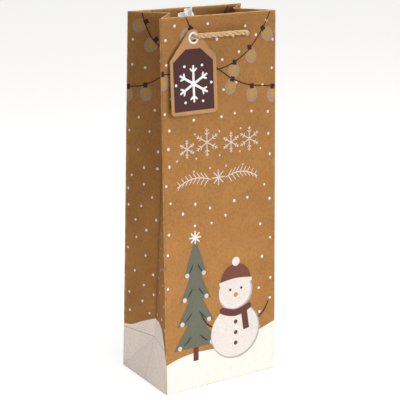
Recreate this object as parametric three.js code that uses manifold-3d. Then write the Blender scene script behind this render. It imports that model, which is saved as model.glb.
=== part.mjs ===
// Printed paper gift bag for one wine bottle, with two rope handles, a die-cut tag and a strip of tissue.
// Millimetres, +Z up, the front wall faces -Y, origin at the middle of the base.
import * as THREE from 'three';
import { mergeVertices } from 'three/addons/utils/BufferGeometryUtils.js';
import Module from 'manifold-3d';

const wasm = await Module();
wasm.setup();

// ---- driving sizes ----
const bagWidth = 127;
const bagHeight = 360; // measured up the sloping wall
const baseDepth = 86;
const mouthDepth = 58;
const gussetTuck = 28; // how far the side crease is pushed in at the rim
const apexTuck = 12; // and at the top of the folded base triangle
const paper = 0.3;
const gap = 0.3; // between faces that touch or are glued
const cardThickness = 1.0; // stiffener behind each hem, and the base board
const hemHeight = 40;
const hemInset = 4; // hem stops short of the corner folds
const seamWidth = 15;
const flapOverlap = 12; // how far each bottom flap passes the middle
const tuckFlapReach = 36;
const boardClearance = 2;

const ropeDiameter = 4.8;
const ropeLength = 300;
const holeSpacing = 62.4;
const holeDrop = 20.4; // below the rim
const holeTrim = 0.6; // a hole's radius is the rope's diameter less this, so that a slanting rope clears it
const holeRadius = ropeDiameter - holeTrim;
const knotDiameter = 11;

const tagThickness = 0.5;
const tagStandoff = 0.9;
const tagHoleRadius = ropeDiameter - holeTrim;
const tagWidth = 50;
const tagLength = 70; // below the hole's middle
const tagShoulder = 20; // where the sides begin, below the hole's middle
const tagCorner = 3;
const tagLobe = tagHoleRadius + 3.4; // card left round the hole

const tissueWidth = 33;
const tissueDepth = 11;
const tissueOffset = -10.5; // middle of the strip, along the width
const tissuePeak = 1.6; // above the rim
const tissuePleats = 5;
const tissueThickness = 0.3;

// ---- derived sizes ----
const halfWidth = bagWidth / 2;
const lean = Math.asin((baseDepth - mouthDepth) / 2 / bagHeight);
const apex = baseDepth / 2; // height of the folded base triangles
const laminate = 2 * paper + cardThickness + 2 * gap;
const boardTop = 3 * paper + 3 * gap + cardThickness;
const holeHeight = bagHeight - holeDrop;

// ---- finishes ----
function finish(color, roughness = 0.85) {
  return new THREE.MeshStandardMaterial({ color, roughness, metalness: 0 });
}
const kraft = () => finish(0xa97a45, 0.8);
const greyboard = () => finish(0x9a8a72, 0.95);
const rope = () => finish(0xc4a473, 0.95);

// ---- solids ----
function signedVolume(geometry) {
  const p = geometry.attributes.position;
  const index = geometry.index.array;
  const [a, b, c] = [new THREE.Vector3(), new THREE.Vector3(), new THREE.Vector3()];
  let volume = 0;
  for (let i = 0; i < index.length; i += 3) {
    a.fromBufferAttribute(p, index[i]);
    b.fromBufferAttribute(p, index[i + 1]);
    c.fromBufferAttribute(p, index[i + 2]);
    volume += a.dot(b.cross(c)) / 6;
  }
  return volume;
}

// Welds the vertices and turns the faces outwards.
function closed(geometry) {
  geometry.deleteAttribute('normal');
  geometry.deleteAttribute('uv');
  const welded = mergeVertices(geometry, 1e-4);
  if (signedVolume(welded) < 0) {
    const index = welded.index.array;
    for (let i = 0; i < index.length; i += 3) {
      [index[i], index[i + 1]] = [index[i + 1], index[i]];
    }
  }
  return welded;
}

function toManifold(geometry) {
  const welded = closed(geometry);
  const vertProperties = new Float32Array(welded.attributes.position.array);
  const triVerts = new Uint32Array(welded.index.array);
  return new wasm.Manifold(new wasm.Mesh({ numProp: 3, vertProperties, triVerts }));
}

function toGeometry(manifold) {
  const mesh = manifold.getMesh();
  const geometry = new THREE.BufferGeometry();
  geometry.setAttribute('position', new THREE.BufferAttribute(new Float32Array(mesh.vertProperties), 3));
  geometry.setIndex(new THREE.BufferAttribute(new Uint32Array(mesh.triVerts), 1));
  geometry.computeVertexNormals();
  return geometry;
}

function circlePoints(radius, sides) {
  return Array.from({ length: sides }, (_, i) => {
    const turn = (2 * Math.PI * i) / sides;
    return new THREE.Vector2(Math.cos(turn) * radius, Math.sin(turn) * radius);
  });
}

const join = (a, b) => toGeometry(toManifold(a).add(toManifold(b)));

function piece(name, geometry, material) {
  const mesh = new THREE.Mesh(geometry, material);
  mesh.name = name;
  return mesh;
}

// A sheet with a section drawn across its thickness (n) and up its height (v), run along u from u0 to u1.
function sheet(outline, u0, u1, place, steps = 1) {
  const section = new THREE.Shape(outline.map(([n, v]) => new THREE.Vector2(n, v)));
  const geometry = new THREE.ExtrudeGeometry(section, { depth: 1, bevelEnabled: false, steps });
  const p = geometry.attributes.position;
  for (let i = 0; i < p.count; i++) {
    const point = place(u0 + (u1 - u0) * p.getZ(i), p.getY(i), p.getX(i));
    p.setXYZ(i, point.x, point.y, point.z);
  }
  return closed(geometry);
}

function stations(low, high, count) {
  return Array.from({ length: count + 1 }, (_, i) => low + ((high - low) * i) / count);
}

// A strip of one thickness through a list of heights.
function stripOutline(outer, inner, heights) {
  return [...heights.map((v) => [outer, v]), ...[...heights].reverse().map((v) => [inner, v])];
}

// The hem: over the rim and down inside, with the fold rounded.
function hemOutline(depth, bends = 1) {
  const heights = stations(bagHeight - hemHeight, bagHeight - 1, bends);
  const inner = heights.map((v) => [-depth, v]);
  const facing = [...heights].reverse().map((v) => [-depth + paper, v]);
  facing[0][1] = bagHeight - paper;
  return [
    ...inner,
    [-depth + 0.3 * paper, bagHeight - 0.3 * paper],
    [-depth + paper, bagHeight],
    [-paper, bagHeight],
    [0, bagHeight - paper],
    [0, bagHeight - 2 * paper],
    [-paper, bagHeight - 2 * paper],
    [-paper, bagHeight - paper],
    ...facing,
  ];
}

// ---- front and back walls: local x along the width, y up the slope, z outwards ----
const wallPlace = (u, v, n) => new THREE.Vector3(u, v, n);

function wallPanel() {
  const skin = sheet(stripOutline(0, -paper, [0, bagHeight - paper]), -halfWidth, halfWidth, wallPlace);
  const hem = sheet(hemOutline(laminate), -halfWidth + hemInset, halfWidth - hemInset, wallPlace);
  return drilled(join(skin, hem));
}

// Punches the two rope holes through a piece of the wall.
function drilled(geometry) {
  let solid = toManifold(geometry);
  for (const side of [-1, 1]) {
    const punch = new THREE.CylinderGeometry(holeRadius, holeRadius, 4 * laminate, 32);
    punch.rotateX(Math.PI / 2);
    punch.translate((side * holeSpacing) / 2, holeHeight, 0);
    solid = solid.subtract(toManifold(punch));
  }
  return toGeometry(solid);
}

function stiffener() {
  const outline = stripOutline(
    -paper - gap,
    -paper - gap - cardThickness,
    [bagHeight - hemHeight, bagHeight - 2 * paper - gap],
  );
  return drilled(sheet(outline, -halfWidth + hemInset, halfWidth - hemInset, wallPlace));
}

// ---- rope handle ----
// Half of the run from the hole out to the straight part and in to the hanging tail,
// as offsets from the middle of the hole: across, up, outwards.
const bendOut = [
  [9.8, 2.4, 6.3],
  [6.7, 2.3, 5.8],
  [3.9, 1.8, 4.5],
  [1.5, 1.0, 2.5],
];
const bendIn = [
  [0, 0, 0],
  [-1.1, -1.5, -2.6],
  [-1.9, -3.9, -4.7],
  [-2.5, -6.7, -6.0],
  [-2.7, -9.9, -6.4],
];
const bendLength = 25.5;
const straightHalf = holeSpacing / 2 - bendOut[0][0];
const tailLength = ropeLength / 2 - straightHalf - bendLength;
const tailStops = [0.12, 0.3, 0.5, 0.7, 0.86, 1];

function ropeHalf() {
  const middle = -laminate / 2;
  const at = ([x, s, n]) => new THREE.Vector3(holeSpacing / 2 - x, holeHeight + s, middle + n);
  const last = bendIn[bendIn.length - 1];
  const tail = tailStops.map((part) => {
    const drop = tailLength * part;
    return at([last[0], last[1] - drop, last[2] - Math.tan(lean) * drop]);
  });
  return [new THREE.Vector3(straightHalf * 0.5, at(bendOut[0]).y, at(bendOut[0]).z),
    ...bendOut.map(at), ...bendIn.map(at), ...tail];
}

function ropeRoute() {
  const right = ropeHalf();
  const left = right.map((p) => new THREE.Vector3(-p.x, p.y, p.z)).reverse();
  return [...left, new THREE.Vector3(0, right[0].y, right[0].z), ...right];
}

function ropeTube() {
  const section = new THREE.Shape(circlePoints(ropeDiameter / 2, 10));
  const extrudePath = new THREE.CatmullRomCurve3(ropeRoute(), false, 'centripetal');
  return closed(new THREE.ExtrudeGeometry(section, { steps: 60, bevelEnabled: false, extrudePath }));
}

function knot(side) {
  const route = ropeRoute();
  const end = side < 0 ? route[0] : route[route.length - 1];
  const ball = new THREE.SphereGeometry(knotDiameter / 2, 16, 12);
  ball.translate(end.x, end.y - knotDiameter / 2 - gap, end.z);
  return closed(ball);
}

function wallGroup(side) {
  const wall = new THREE.Group();
  wall.rotation.x = Math.PI / 2 - lean;
  wall.position.y = -baseDepth / 2;
  wall.add(piece(`${side}_panel`, wallPanel(), kraft()));
  wall.add(piece(`${side}_stiffener`, stiffener(), greyboard()));
  wall.add(piece(`${side}_rope`, ropeTube(), rope()));
  wall.add(piece(`${side}_knot_a`, knot(-1), rope()));
  wall.add(piece(`${side}_knot_b`, knot(1), rope()));
  return wall;
}

// ---- gift tag: a plain luggage tag, hung by a lobe round its hole ----
function tagGeometry() {
  const [x, s] = [-holeSpacing / 2 + 1.3, holeHeight + 0.9];
  const at = (dx, ds) => new THREE.Vector2(x + dx, s + ds);
  const half = tagWidth / 2;
  const lobe = Array.from({ length: 13 }, (_, i) => THREE.MathUtils.degToRad(30 + i * 10))
    .map((turn) => at(tagLobe * Math.cos(turn), tagLobe * Math.sin(turn)));
  const body = [
    at(-half, -tagShoulder), at(-half, tagCorner - tagLength), at(tagCorner - half, -tagLength),
    at(half - tagCorner, -tagLength), at(half, tagCorner - tagLength), at(half, -tagShoulder),
  ];
  const shape = new THREE.Shape([...lobe, ...body]);
  const hole = new THREE.Path();
  hole.setFromPoints(circlePoints(tagHoleRadius, 24).map((p) => at(p.x, p.y)));
  shape.holes.push(hole);
  const geometry = new THREE.ExtrudeGeometry(shape, { depth: tagThickness, bevelEnabled: false });
  geometry.translate(0, 0, tagStandoff);
  return closed(geometry);
}

// ---- side gussets: u from the corner fold to the middle crease, v up the slope, n outwards ----
// The base triangle leans in to the apex, and above it the side sinks evenly to the middle crease.
function tuckAt(u, v) {
  if (v <= apex) return apexTuck * Math.min(u, v / apex);
  return u * (apexTuck + ((gussetTuck - apexTuck) * (v - apex)) / (bagHeight - apex));
}

function gussetPlace(sideX, sideY) {
  return (u, v, n) => {
    const corner = new THREE.Vector2(halfWidth, baseDepth / 2 - v * Math.sin(lean) - paper - gap);
    const crease = new THREE.Vector2(halfWidth - tuckAt(1, v), gap / 2 + 0.05);
    const along = crease.clone().sub(corner).normalize();
    const point = corner.clone().lerp(crease, u);
    point.x = halfWidth - tuckAt(u, v);
    point.x += -along.y * n;
    point.y += along.x * n;
    return new THREE.Vector3(sideX * point.x, sideY * point.y, v * Math.cos(lean));
  };
}

// The skin as an even mesh, with every cell split along the diagonal that the base triangle folds on.
function gussetSkin(place) {
  const columns = 6;
  const heights = [...stations(0, apex, columns), ...stations(apex, bagHeight - paper, 8).slice(1)];
  const rows = heights.length - 1;
  const points = [0, -paper].flatMap((n) =>
    heights.flatMap((v) => stations(0, 1, columns).map((u) => place(u, v, n))),
  );
  const index = [];
  const at = (face, row, column) => (face * (rows + 1) + row) * (columns + 1) + column;
  const quad = (a, b, c, d) => index.push(a, b, c, a, c, d);
  for (let r = 0; r < rows; r++) {
    for (let c = 0; c < columns; c++) {
      quad(at(0, r, c), at(0, r, c + 1), at(0, r + 1, c + 1), at(0, r + 1, c));
      quad(at(1, r, c), at(1, r + 1, c), at(1, r + 1, c + 1), at(1, r, c + 1));
    }
    quad(at(0, r, 0), at(0, r + 1, 0), at(1, r + 1, 0), at(1, r, 0));
    quad(at(0, r + 1, columns), at(0, r, columns), at(1, r, columns), at(1, r + 1, columns));
  }
  for (let c = 0; c < columns; c++) {
    quad(at(0, 0, c + 1), at(0, 0, c), at(1, 0, c), at(1, 0, c + 1));
    quad(at(0, rows, c), at(0, rows, c + 1), at(1, rows, c + 1), at(1, rows, c));
  }
  const geometry = new THREE.BufferGeometry().setFromPoints(points);
  geometry.setIndex(index);
  return closed(geometry);
}

function gussetHalf(sideX, sideY) {
  const place = gussetPlace(sideX, sideY);
  const inset = hemInset / (baseDepth / 2);
  const hem = sheet(hemOutline(2 * paper + gap), inset, 1 - inset / 2, place);
  return join(gussetSkin(place), hem);
}

// ---- block bottom ----
function plate(points, low, thickness) {
  const shape = new THREE.Shape(points.map(([x, y]) => new THREE.Vector2(x, y)));
  const geometry = new THREE.ExtrudeGeometry(shape, { depth: thickness, bevelEnabled: false });
  geometry.translate(0, 0, low);
  return closed(geometry);
}

function bottomFlap(side, low) {
  const x = halfWidth - paper - 2 * gap;
  const y = side * (baseDepth / 2 - 2 * paper - gap);
  const end = -side * flapOverlap;
  const outline = [[-x, y], [x, y], [x - 4, end], [-x + 4, end]];
  return plate(outline, low, paper);
}

function bottomTuck(side, low) {
  const x = side * (halfWidth - paper - 2 * gap);
  const y = baseDepth / 2 - 2 * paper - 2 * gap;
  const tip = x - side * tuckFlapReach;
  return plate([[x, -y], [x, y], [tip, y - tuckFlapReach], [tip, -y + tuckFlapReach]], low, paper);
}

function baseBoard() {
  const x = halfWidth - boardClearance;
  const y = baseDepth / 2 - boardClearance;
  return plate([[-x, -y], [x, -y], [x, y], [-x, y]], boardTop - cardThickness, cardThickness);
}

// ---- tissue: a loosely pleated strip standing on the base board against the back wall ----
function tissueGeometry() {
  const low = boardTop + 2;
  const left = -tissueOffset - tissueWidth / 2;
  const at = (part, height) => new THREE.Vector2(left + tissueWidth * part, height);
  const outline = [
    at(0, low), at(1, low), at(1, bagHeight - 11), at(0.8, bagHeight - 4), at(0.62, bagHeight - 5),
    at(0.42, bagHeight + tissuePeak), at(0.2, bagHeight - 3), at(0, bagHeight - 8),
  ];
  const slabOptions = { depth: tissueDepth, bevelEnabled: false };
  const slab = new THREE.ExtrudeGeometry(new THREE.Shape(outline), slabOptions);
  const folds = Array.from({ length: 2 * tissuePleats + 1 }, (_, i) => {
    const depth = (i % 2 ? tissueDepth - 1 : 1) + 0.4 * Math.sin(2.4 * i);
    return [left + (tissueWidth * i) / (2 * tissuePleats), depth];
  });
  const rise = tissueThickness * Math.hypot(1, (2 * tissuePleats * (tissueDepth - 2)) / tissueWidth);
  const far = folds.map(([x, depth]) => new THREE.Vector2(x, -depth - rise / 2));
  const near = [...folds].reverse().map(([x, depth]) => new THREE.Vector2(x, -depth + rise / 2));
  const options = { depth: bagHeight + 10, bevelEnabled: false };
  const pleats = new THREE.ExtrudeGeometry(new THREE.Shape([...far, ...near]), options);
  pleats.rotateX(-Math.PI / 2);
  pleats.scale(0.999, 1, 1);
  const strip = toManifold(pleats).intersect(toManifold(slab));
  return toGeometry(strip).translate(0, 0, -laminate - 0.7 - tissueDepth);
}

// ---- assembly ----
const bag = new THREE.Group();
bag.name = 'wine_gift_bag';

const front = wallGroup('front');
front.add(piece('gift_tag', tagGeometry(), finish(0x7a4a3a, 0.8)));
bag.add(front);

const turned = new THREE.Group();
turned.rotation.z = Math.PI;
const back = wallGroup('back');
const seamOutline = stripOutline(-paper - gap, -2 * paper - gap, [apex / 5, bagHeight - hemHeight - 2]);
const seamEdge = -halfWidth + hemInset;
back.add(piece('side_seam_tab', sheet(seamOutline, seamEdge, seamEdge + seamWidth, wallPlace), kraft()));
back.add(piece('tissue_strip', tissueGeometry(), finish(0xf1f1ef, 0.9)));
turned.add(back);
bag.add(turned);

for (const [name, sideX] of [['left', -1], ['right', 1]]) {
  bag.add(piece(`${name}_gusset_front`, gussetHalf(sideX, -1), kraft()));
  bag.add(piece(`${name}_gusset_back`, gussetHalf(sideX, 1), kraft()));
  bag.add(piece(`bottom_tuck_${name}`, bottomTuck(sideX, 2 * (paper + gap)), kraft()));
}
bag.add(piece('bottom_flap_front', bottomFlap(-1, 0), kraft()));
bag.add(piece('bottom_flap_back', bottomFlap(1, paper + gap), kraft()));
bag.add(piece('base_board', baseBoard(), greyboard()));

export default bag;
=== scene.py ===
"""Looks of a printed paper gift bag for a bottle: folded sheet, printed picture, rope handles, tag and tissue."""
import logging
import math
import random
from dataclasses import dataclass, field
from enum import Enum
from typing import Callable, Iterable, Sequence

import bpy
from mathutils import Matrix, Vector, noise
from mathutils.geometry import delaunay_2d_cdt


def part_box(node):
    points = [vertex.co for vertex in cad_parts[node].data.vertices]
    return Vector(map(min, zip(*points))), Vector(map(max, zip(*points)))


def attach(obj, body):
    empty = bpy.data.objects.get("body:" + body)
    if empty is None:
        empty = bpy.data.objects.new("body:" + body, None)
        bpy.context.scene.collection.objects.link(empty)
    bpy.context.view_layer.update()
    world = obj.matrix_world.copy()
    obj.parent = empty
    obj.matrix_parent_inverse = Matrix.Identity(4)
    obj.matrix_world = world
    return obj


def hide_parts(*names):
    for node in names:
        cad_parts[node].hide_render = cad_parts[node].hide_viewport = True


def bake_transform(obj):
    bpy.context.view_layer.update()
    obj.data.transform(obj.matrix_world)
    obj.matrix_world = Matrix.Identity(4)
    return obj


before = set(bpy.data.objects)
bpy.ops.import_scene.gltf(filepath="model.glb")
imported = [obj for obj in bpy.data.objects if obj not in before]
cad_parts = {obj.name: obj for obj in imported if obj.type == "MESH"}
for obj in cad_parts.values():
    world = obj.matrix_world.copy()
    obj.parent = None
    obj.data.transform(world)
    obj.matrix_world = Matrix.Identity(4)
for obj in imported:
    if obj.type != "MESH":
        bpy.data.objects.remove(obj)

log = logging.getLogger("gift_bag")
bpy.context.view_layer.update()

Point = tuple[float, float]
Path = Sequence[Point]
Place = Callable[[float, float, float], Vector]


# ---------------------------------------------------------------- colours and finishes

def linear(red: int, green: int, blue: int) -> tuple[float, float, float, float]:
    """Turns a display colour from 0 to 255 into linear light."""
    def channel(value: int) -> float:
        """Decodes one channel."""
        c = value / 255
        return c / 12.92 if c <= 0.04045 else ((c + 0.055) / 1.055) ** 2.4
    return (channel(red), channel(green), channel(blue), 1.0)


class Ink(Enum):
    """The printed colours, as display values."""
    SNOW = (228, 218, 211)
    WIRE = (60, 28, 25)
    GLASS = (156, 130, 112)
    GLOW = (176, 138, 54)
    FIR = (94, 96, 83)
    TWIG = (56, 41, 43)
    CAP = (107, 64, 51)
    PALE = (208, 202, 197)
    STRAND = (166, 160, 158)
    CARROT = (190, 130, 56)
    SCARF = (96, 51, 47)
    MOTIF = (208, 195, 185)
    BAUBLE = (200, 188, 176)
    WHITE = (234, 234, 234)
    PLUM = (71, 42, 41)
    CREASE = (152, 128, 104)


class NodeTools:
    """Short ways to wire shader nodes."""

    @staticmethod
    def group(name: str, inputs: dict[str, tuple[str, object]], outputs: dict[str, str]) -> bpy.types.NodeTree:
        """Makes an empty node group with named sockets.

        Args:
            name: The group's name.
            inputs: Socket name to socket type and default value.
            outputs: Socket name to socket type.

        Returns:
            The node tree, holding only its input and output nodes.
        """
        tree = bpy.data.node_groups.new(name, "ShaderNodeTree")
        for label, (kind, value) in inputs.items():
            tree.interface.new_socket(label, in_out="INPUT", socket_type=kind).default_value = value
        for label, kind in outputs.items():
            tree.interface.new_socket(label, in_out="OUTPUT", socket_type=kind)
        tree.nodes.new("NodeGroupInput")
        tree.nodes.new("NodeGroupOutput")
        return tree

    @staticmethod
    def node(tree: bpy.types.NodeTree, kind: str, links: dict | None = None, **values: object) -> bpy.types.Node:
        """Adds a node, sets its properties or sockets by name, and links its inputs.

        Args:
            tree: The tree to add to.
            kind: The node's type name.
            links: Input name or number to the output socket that feeds it.
            **values: Property values, or socket values with spaces written as underscores.

        Returns:
            The new node.
        """
        made = tree.nodes.new(kind)
        for key, value in values.items():
            label = key.replace("_", " ").title()
            if hasattr(made, key):
                setattr(made, key, value)
            else:
                made.inputs[label].default_value = value
        for socket, source in (links or {}).items():
            tree.links.new(source, made.inputs[socket])
        return made


@dataclass(frozen=True)
class PaperFibre:
    """The mottle, specks and fine tooth of uncoated kraft paper, as a shared group."""
    name: str = "paper fibre"
    speck_scale: float = 620.0
    cloud_scale: float = 26.0

    def tree(self) -> bpy.types.NodeTree:
        """Builds the group once and hands back the same one afterwards."""
        found = bpy.data.node_groups.get(self.name)
        if found:
            return found
        tree = NodeTools.group(
            self.name,
            {
                "Colour": ("NodeSocketColor", (0.4, 0.2, 0.07, 1)),
                "Fibre Colour": ("NodeSocketColor", (0.2, 0.09, 0.03, 1)),
                "Speck": ("NodeSocketFloat", 0.3),
                "Cloud": ("NodeSocketFloat", 0.12),
                "Roughness": ("NodeSocketFloat", 0.8),
            },
            {"Colour": "NodeSocketColor", "Roughness": "NodeSocketFloat", "Height": "NodeSocketFloat"},
        )
        take = tree.nodes["Group Input"].outputs
        add = NodeTools.node
        where = add(tree, "ShaderNodeTexCoord").outputs["Object"]
        long_way = add(tree, "ShaderNodeMapping", {"Vector": where}).outputs[0]
        long_way.node.inputs["Scale"].default_value = (1.0, 1.0, 0.75)
        specks = add(tree, "ShaderNodeTexNoise", {"Vector": long_way}, scale=self.speck_scale, detail=4.0)
        clouds = add(tree, "ShaderNodeTexNoise", {"Vector": where}, scale=self.cloud_scale, detail=3.0)
        fibres = add(tree, "ShaderNodeTexNoise", {"Vector": long_way}, scale=self.speck_scale * 2.6, detail=2.0)
        sharp = add(tree, "ShaderNodeMapRange", {"Value": specks.outputs[0]}, from_min=0.42, from_max=0.66)
        amount = add(tree, "ShaderNodeMath", {0: sharp.outputs[0], 1: take["Speck"]}, operation="MULTIPLY")
        tinted = self._mix(tree, amount.outputs[0], take["Colour"], take["Fibre Colour"])
        cloudy = add(tree, "ShaderNodeMapRange", {"Value": clouds.outputs[0]}, from_min=0.3, from_max=0.7,
                     to_min=-1.0, to_max=1.0)
        swing = add(tree, "ShaderNodeMath", {0: cloudy.outputs[0], 1: take["Cloud"]}, operation="MULTIPLY")
        value = add(tree, "ShaderNodeMath", {0: swing.outputs[0]}, operation="ADD")
        value.inputs[1].default_value = 1.0
        shaded = add(tree, "ShaderNodeHueSaturation", {"Value": value.outputs[0], "Color": tinted})
        rough = add(tree, "ShaderNodeMath", {0: fibres.outputs[0], 2: take["Roughness"]}, operation="MULTIPLY_ADD")
        rough.inputs[1].default_value = 0.16
        height = add(tree, "ShaderNodeMath", {0: fibres.outputs[0], 1: specks.outputs[0]}, operation="ADD")
        out = tree.nodes["Group Output"].inputs
        tree.links.new(shaded.outputs[0], out["Colour"])
        tree.links.new(rough.outputs[0], out["Roughness"])
        tree.links.new(height.outputs[0], out["Height"])
        return tree

    @staticmethod
    def _mix(tree: bpy.types.NodeTree, factor: object, first: object, second: object) -> bpy.types.NodeSocket:
        """Mixes two colours by a factor and returns the result's socket.

        Args:
            tree: The node tree.
            factor: The share of the second colour.
            first: The first colour.
            second: The second colour.

        Returns:
            The mixed colour.
        """
        mix = tree.nodes.new("ShaderNodeMix")
        mix.data_type = "RGBA"
        tree.links.new(factor, mix.inputs[0])
        tree.links.new(first, mix.inputs[6])
        tree.links.new(second, mix.inputs[7])
        return mix.outputs[2]


@dataclass(frozen=True)
class FoldWearAndHighlight:
    """A mask of the rim and the four corner edges, where the kraft is drawn lighter: partly rubbed wear, partly
    painted highlight, as a shared group.
    """
    name: str = "rubbed and lit folds"

    def tree(self) -> bpy.types.NodeTree:
        """Builds the group once and hands back the same one afterwards."""
        found = bpy.data.node_groups.get(self.name)
        if found:
            return found
        tree = NodeTools.group(
            self.name,
            {"Rim Height": ("NodeSocketFloat", 0.359), "Edge Width": ("NodeSocketFloat", 0.0628)},
            {"Mask": "NodeSocketFloat"},
        )
        take = tree.nodes["Group Input"].outputs
        add = NodeTools.node
        where = add(tree, "ShaderNodeTexCoord").outputs["Object"]
        axes = add(tree, "ShaderNodeSeparateXYZ", {0: where}).outputs
        ragged = add(tree, "ShaderNodeTexNoise", {"Vector": where}, scale=180.0, detail=3.0).outputs[0]
        across = add(tree, "ShaderNodeMath", {0: axes["X"]}, operation="ABSOLUTE").outputs[0]
        parts = []
        for reach, limit in ((across, take["Edge Width"]), (axes["Z"], take["Rim Height"])):
            past = add(tree, "ShaderNodeMath", {0: reach, 1: limit}, operation="SUBTRACT").outputs[0]
            mask = add(tree, "ShaderNodeMapRange", {"Value": past}, from_min=-0.0004, from_max=0.0007)
            parts.append(mask.outputs[0])
        either = add(tree, "ShaderNodeMath", {0: parts[0], 1: parts[1]}, operation="MAXIMUM").outputs[0]
        patchy = add(tree, "ShaderNodeMapRange", {"Value": ragged}, from_min=0.3, from_max=0.6).outputs[0]
        mask = add(tree, "ShaderNodeMath", {0: either, 1: patchy}, operation="MULTIPLY").outputs[0]
        tree.links.new(mask, tree.nodes["Group Output"].inputs["Mask"])
        return tree


@dataclass(frozen=True)
class PaperFinish:
    """A dyed or printed paper: base colour, how strong its fibres show, and whether its folds are drawn lighter,
    partly as rubbed wear and partly as painted highlight.
    """
    name: str
    colour: tuple[int, int, int]
    fibre: tuple[int, int, int]
    speck: float = 0.34
    cloud: float = 0.1
    roughness: float = 0.72
    bump: float = 0.12
    folds_rubbed_and_lit: bool = False

    def material(self) -> bpy.types.Material:
        """Builds the material once and hands back the same one afterwards."""
        found = bpy.data.materials.get(self.name)
        if found:
            return found
        made = bpy.data.materials.new(self.name)
        made.use_nodes = True
        tree = made.node_tree
        shader = tree.nodes["Principled BSDF"]
        shader.inputs["Specular IOR Level"].default_value = 0.25
        group = NodeTools.node(tree, "ShaderNodeGroup", node_tree=PaperFibre().tree())
        group.inputs["Colour"].default_value = linear(*self.colour)
        group.inputs["Fibre Colour"].default_value = linear(*self.fibre)
        group.inputs["Speck"].default_value = self.speck
        group.inputs["Cloud"].default_value = self.cloud
        group.inputs["Roughness"].default_value = self.roughness
        colour = group.outputs["Colour"]
        # Rim and corner folds painted a lighter tan: partly rubbed wear, partly painted highlight where light
        # catches the fold edges.
        if self.folds_rubbed_and_lit:
            rub_and_light = NodeTools.node(tree, "ShaderNodeGroup", node_tree=FoldWearAndHighlight().tree())
            mix = tree.nodes.new("ShaderNodeMix")
            mix.data_type = "RGBA"
            tree.links.new(rub_and_light.outputs["Mask"], mix.inputs[0])
            tree.links.new(colour, mix.inputs[6])
            mix.inputs[7].default_value = linear(198, 160, 112)
            colour = mix.outputs[2]
        tree.links.new(colour, shader.inputs["Base Color"])
        tree.links.new(group.outputs["Roughness"], shader.inputs["Roughness"])
        bump = NodeTools.node(tree, "ShaderNodeBump", {"Height": group.outputs["Height"]}, strength=self.bump)
        bump.inputs["Distance"].default_value = 0.0004
        tree.links.new(bump.outputs[0], shader.inputs["Normal"])
        return made


KRAFT = PaperFinish("kraft", (158, 112, 61), (112, 72, 34), folds_rubbed_and_lit=True)
TAG_CARD = PaperFinish("tag card", (182, 138, 92), (140, 96, 56), speck=0.3, roughness=0.7)
GREYBOARD = PaperFinish("greyboard", (166, 152, 130), (112, 100, 84), speck=0.5, cloud=0.06, roughness=0.85)


def ink_finish(ink: Ink) -> bpy.types.Material:
    """The material of one printed colour, with the paper's fibres showing through a little."""
    dark = tuple(int(c * 0.82) for c in ink.value)
    finish = PaperFinish(f"ink {ink.name.lower()}", ink.value, dark, speck=0.3, cloud=0.04, roughness=0.62)
    return finish.material()


@dataclass(frozen=True)
class RopeFibre:
    """Twisted paper-fibre cord: pale tan with fine lengthwise fibres and darker grooves."""
    name: str = "rope fibre"

    def material(self) -> bpy.types.Material:
        """Builds the material once and hands back the same one afterwards."""
        found = bpy.data.materials.get(self.name)
        if found:
            return found
        made = bpy.data.materials.new(self.name)
        made.use_nodes = True
        tree = made.node_tree
        add = NodeTools.node
        shader = tree.nodes["Principled BSDF"]
        shader.inputs["Specular IOR Level"].default_value = 0.2
        shader.inputs["Roughness"].default_value = 0.85
        where = add(tree, "ShaderNodeTexCoord").outputs["UV"]
        stretched = add(tree, "ShaderNodeMapping", {"Vector": where})
        stretched.inputs["Scale"].default_value = (7.0, 0.9, 1.0)
        fibre = add(tree, "ShaderNodeTexNoise", {"Vector": stretched.outputs[0]}, scale=3.4, detail=6.0)
        ramp = add(tree, "ShaderNodeValToRGB", {0: fibre.outputs[0]})
        stops = ramp.color_ramp.elements
        stops[0].position, stops[0].color = 0.3, linear(150, 114, 74)
        stops[1].position, stops[1].color = 0.62, linear(228, 198, 156)
        tree.links.new(ramp.outputs[0], shader.inputs["Base Color"])
        bump = add(tree, "ShaderNodeBump", {"Height": fibre.outputs[0]}, strength=0.6)
        bump.inputs["Distance"].default_value = 0.0006
        tree.links.new(bump.outputs[0], shader.inputs["Normal"])
        return made


@dataclass(frozen=True)
class TissueFinish:
    """Thin white tissue: matt, a little see-through, with faint fine wrinkles and a faint painted glow that
    brightens it.
    """
    name: str = "tissue"

    def material(self) -> bpy.types.Material:
        """Builds the material once and hands back the same one afterwards."""
        made = bpy.data.materials.get(self.name) or bpy.data.materials.new(self.name)
        made.use_nodes = True
        tree = made.node_tree
        add = NodeTools.node
        shader = tree.nodes["Principled BSDF"]
        shader.inputs["Subsurface Weight"].default_value = 0.3
        # Painted light: a faint white glow lifts the tissue's brightness, though it is no lamp.
        shader.inputs["Emission Color"].default_value = (1, 1, 1, 1)
        shader.inputs["Emission Strength"].default_value = 0.12
        shader.inputs["Subsurface Radius"].default_value = (0.004, 0.004, 0.004)
        where = add(tree, "ShaderNodeTexCoord").outputs["Object"]
        creases = add(tree, "ShaderNodeTexVoronoi", {"Vector": where}, feature="DISTANCE_TO_EDGE", scale=170.0)
        fine = add(tree, "ShaderNodeTexNoise", {"Vector": where}, scale=420.0, detail=4.0)
        ramp = add(tree, "ShaderNodeValToRGB", {0: fine.outputs[0]})
        stops = ramp.color_ramp.elements
        stops[0].position, stops[0].color = 0.3, linear(234, 236, 240)
        stops[1].position, stops[1].color = 0.7, linear(252, 252, 252)
        rough = add(tree, "ShaderNodeMapRange", {"Value": fine.outputs[0]}, to_min=0.55, to_max=0.8)
        tree.links.new(ramp.outputs[0], shader.inputs["Base Color"])
        tree.links.new(rough.outputs[0], shader.inputs["Roughness"])
        bump = add(tree, "ShaderNodeBump", {"Height": creases.outputs[0]}, strength=0.35)
        bump.inputs["Distance"].default_value = 0.002
        tree.links.new(bump.outputs[0], shader.inputs["Normal"])
        return made


# ---------------------------------------------------------------- sizes and surfaces

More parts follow.
